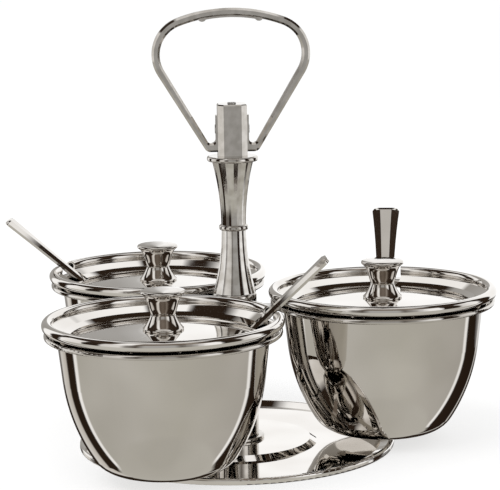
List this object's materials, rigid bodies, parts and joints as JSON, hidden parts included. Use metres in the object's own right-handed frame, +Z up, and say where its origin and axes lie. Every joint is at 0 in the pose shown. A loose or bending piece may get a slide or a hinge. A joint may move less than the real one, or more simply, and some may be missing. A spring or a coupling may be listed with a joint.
{
  "type": "relish server",
  "caption": "Turning relish server with covered bowls in a ring carrier, lift-off lids with knobs, spoons through lid notches and a looped carrying handle.",
  "frame": {"origin": "on the column's axis, at the level of the table", "axes": "+Z up along the column; +X towards the right-hand bowl, in the plane of the handle loop"},
  "size_m": [0.2623, 0.256, 0.2309],
  "materials": {
    "polished_plate": "mirror polished",
    "polished_cast": "mirror polished",
    "polished_ring": "mirror polished",
    "polished_bowl": "mirror polished",
    "polished_lid": "mirror polished",
    "polished_knob": "mirror polished",
    "polished_spoon": "mirror polished",
    "plain_steel": "bright",
    "nylon": "moulded"
  },
  "bodies": {
    "base": {"base_plate": "polished_plate", "base_hub": "polished_cast", "thrust_washer": "nylon"},
    "turntable": {"retaining_washer": "plain_steel", "push_nut": "plain_steel", "tie_rod": "plain_steel", "lower_stem": "polished_cast", "stem_bushes": "nylon", "carrier_hub": "plain_steel", "carrier_ring_right": "polished_ring", "carrier_ring_back": "polished_ring", "carrier_ring_front": "polished_ring", "lower_column": "polished_cast", "mid_ring": "polished_cast", "upper_column": "polished_cast", "top_collar": "polished_cast", "grip_block": "polished_cast", "top_screw": "plain_steel", "handle_loop": "polished_cast", "handle_rivets": "plain_steel"},
    "right_bowl": {"bowl_right": "polished_bowl"},
    "right_lid": {"lid_right": "polished_lid", "knob_base_right": "polished_knob", "knob_cap_right": "polished_knob", "knob_screw_right": "plain_steel"},
    "right_spoon": {"spoon_right": "polished_spoon"},
    "back_bowl": {"bowl_back": "polished_bowl"},
    "back_lid": {"lid_back": "polished_lid", "knob_base_back": "polished_knob", "knob_cap_back": "polished_knob", "knob_screw_back": "plain_steel"},
    "back_spoon": {"spoon_back": "polished_spoon"},
    "front_bowl": {"bowl_front": "polished_bowl"},
    "front_lid": {"lid_front": "polished_lid", "knob_base_front": "polished_knob", "knob_cap_front": "polished_knob", "knob_screw_front": "plain_steel"},
    "front_spoon": {"spoon_front": "polished_spoon"}
  },
  "joints": [
    {"name": "turntable_spin", "type": "hinge", "parent": "base", "child": "turntable", "pos_m": [0, 0, 0], "axis": [0, 0, 1], "continuous": true},
    {"name": "right_bowl_lift", "type": "slide", "parent": "turntable", "child": "right_bowl", "axis": [0.0862, 0.0498, 0.995], "range_m": [0, 0.072]},
    {"name": "right_lid_lift", "type": "slide", "parent": "right_bowl", "child": "right_lid", "axis": [0, 0, 1], "range_m": [0, 0.012]},
    {"name": "right_spoon_draw", "type": "slide", "parent": "right_bowl", "child": "right_spoon", "axis": [0.0993, 0.7063, 0.7009], "range_m": [0, 0.025]},
    {"name": "back_bowl_lift", "type": "slide", "parent": "turntable", "child": "back_bowl", "axis": [-0.025, 0.0432, 0.9988], "range_m": [0, 0.072]},
    {"name": "back_lid_lift", "type": "slide", "parent": "back_bowl", "child": "back_lid", "axis": [0, 0, 1], "range_m": [0, 0.012]},
    {"name": "back_spoon_draw", "type": "slide", "parent": "back_bowl", "child": "back_spoon", "axis": [-0.7544, 0.133, 0.6428], "range_m": [0, 0.025]},
    {"name": "front_bowl_lift", "type": "slide", "parent": "turntable", "child": "front_bowl", "axis": [-0.025, -0.0432, 0.9988], "range_m": [0, 0.072]},
    {"name": "front_lid_lift", "type": "slide", "parent": "front_bowl", "child": "front_lid", "axis": [0, 0, 1], "range_m": [0, 0.012]},
    {"name": "front_spoon_draw", "type": "slide", "parent": "front_bowl", "child": "front_spoon", "axis": [0.7253, 0.0127, 0.6884], "range_m": [0, 0.025]}
  ]
}
